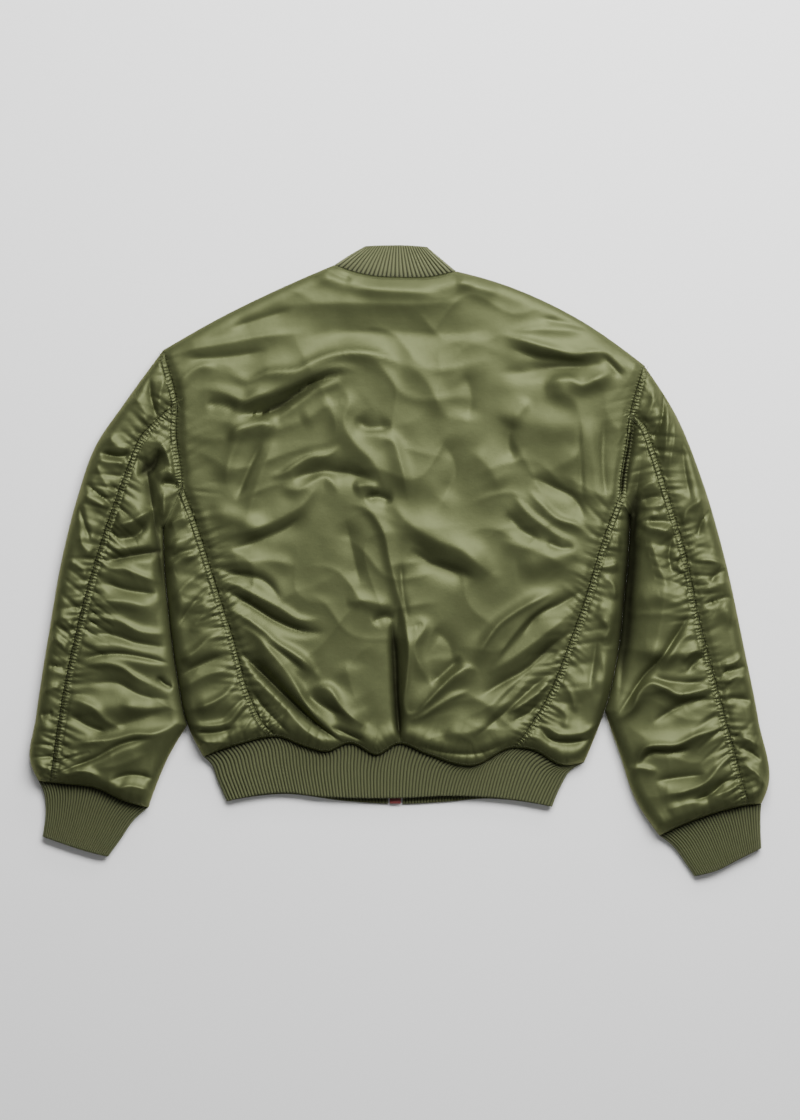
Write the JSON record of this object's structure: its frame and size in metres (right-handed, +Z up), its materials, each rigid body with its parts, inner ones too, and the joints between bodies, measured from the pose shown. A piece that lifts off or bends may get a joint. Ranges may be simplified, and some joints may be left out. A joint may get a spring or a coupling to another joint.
{
  "type": "bomber jacket",
  "caption": "Padded satin nylon bomber jacket with rib knit collar, cuffs and waistband, closed by a zip and laid flat with its back up.",
  "frame": {"origin": "middle of the jacket's outline seen from above, on the surface it lies on", "axes": "+X to the right of a person who looks down on the back with the collar away from them, across the sleeves; +Y towards the collar; +Z up, out of the back"},
  "size_m": [0.9474, 0.8082, 0.0335],
  "materials": {
    "nylon": "padded olive nylon satin with a soft sheen",
    "rib_knit": "matt olive rib knit",
    "zip_tape": "woven tape",
    "zip_metal": "nickel-plated brass, satin",
    "zip_end": "dark red, matt"
  },
  "bodies": {
    "jacket": {"back_panel": "nylon", "side_back_left": "nylon", "side_back_right": "nylon", "front_left": "nylon", "front_right": "nylon", "sleeve_upper_left": "nylon", "sleeve_upper_right": "nylon", "sleeve_under_left": "nylon", "sleeve_under_right": "nylon", "cuff_left": "rib_knit", "cuff_right": "rib_knit", "hem_rib": "rib_knit", "collar": "rib_knit", "zip_tape_left": "zip_tape", "zip_tape_right": "zip_tape", "zip_chain": "zip_metal", "zip_slider": "zip_metal", "zip_box": "zip_end"},
    "zip_pull": {"zip_pull": "zip_metal"}
  },
  "joints": [
    {"name": "pull_swing", "type": "hinge", "parent": "jacket", "child": "zip_pull", "pos_m": [-0.00539, 0.29091, 0.0022], "axis": [1, 0, 0], "range_deg": [0, 165]}
  ]
}
